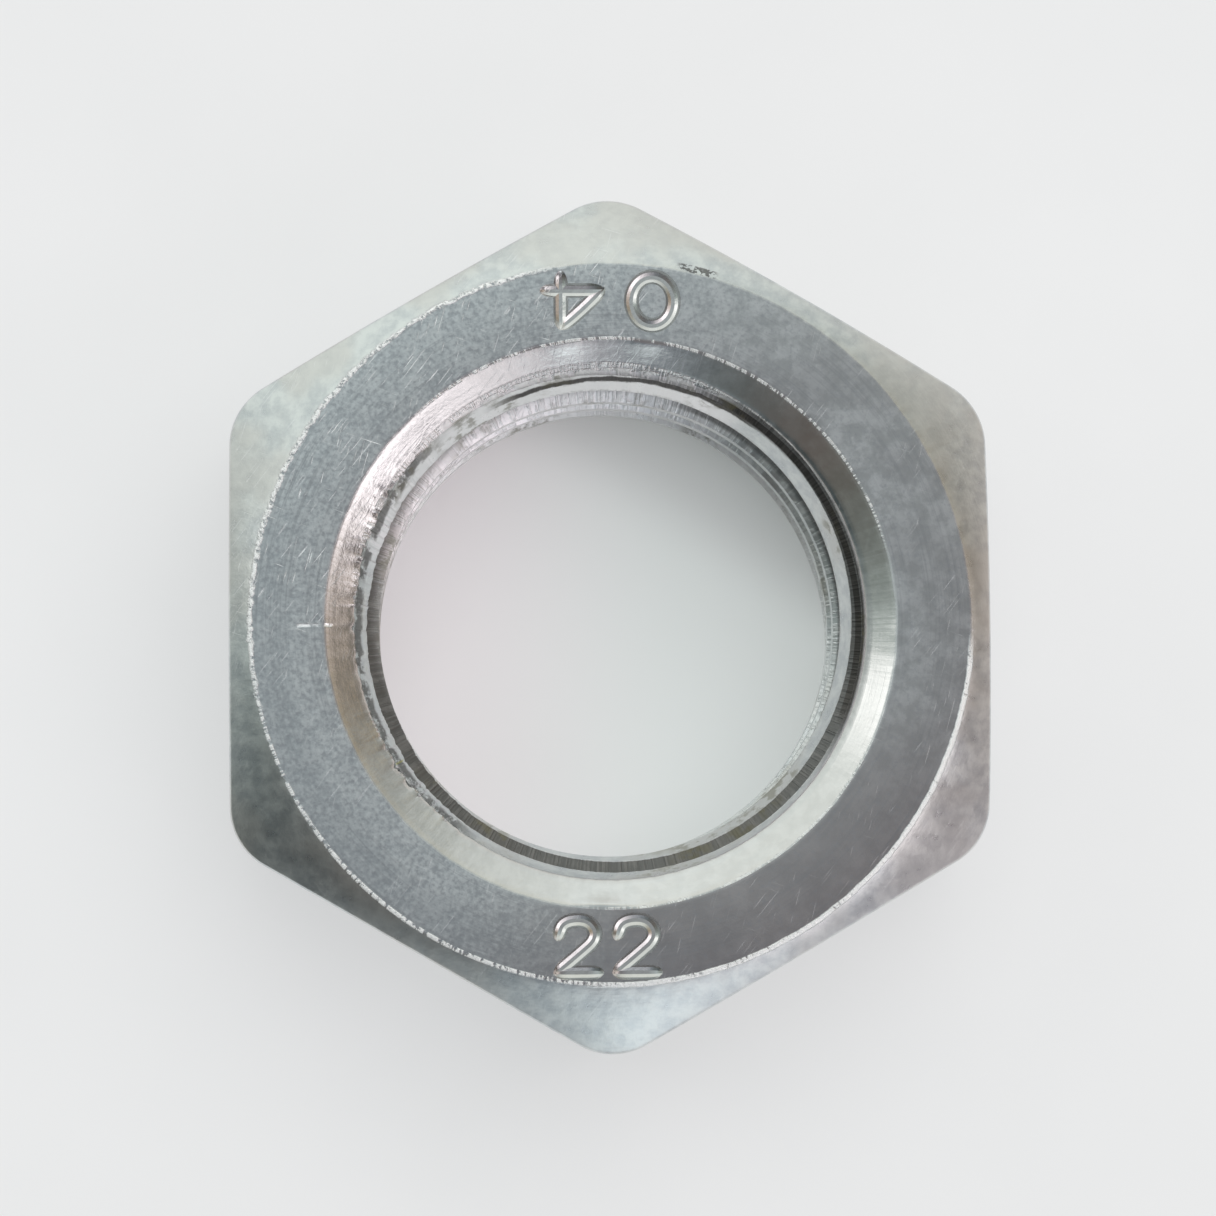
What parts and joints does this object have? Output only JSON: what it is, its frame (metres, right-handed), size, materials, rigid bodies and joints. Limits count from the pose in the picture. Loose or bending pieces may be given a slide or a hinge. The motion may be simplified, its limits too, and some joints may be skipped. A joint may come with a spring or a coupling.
{
  "type": "jam nut",
  "caption": "Hexagon thin nut with a coarse right-hand metric thread, chamfered on both faces and countersunk at both ends of the hole.",
  "frame": {"origin": "middle of the lower bearing face, on the thread axis", "axes": "+Z along the thread axis, away from the lower bearing face; two flats face +X and -X; two corners lie on the Y axis"},
  "size_m": [0.032, 0.036, 0.011],
  "materials": {
    "zinc_steel": "bright zinc plate, worn and scratched"
  },
  "bodies": {
    "root": {"nut": "zinc_steel"}
  },
  "joints": []
}
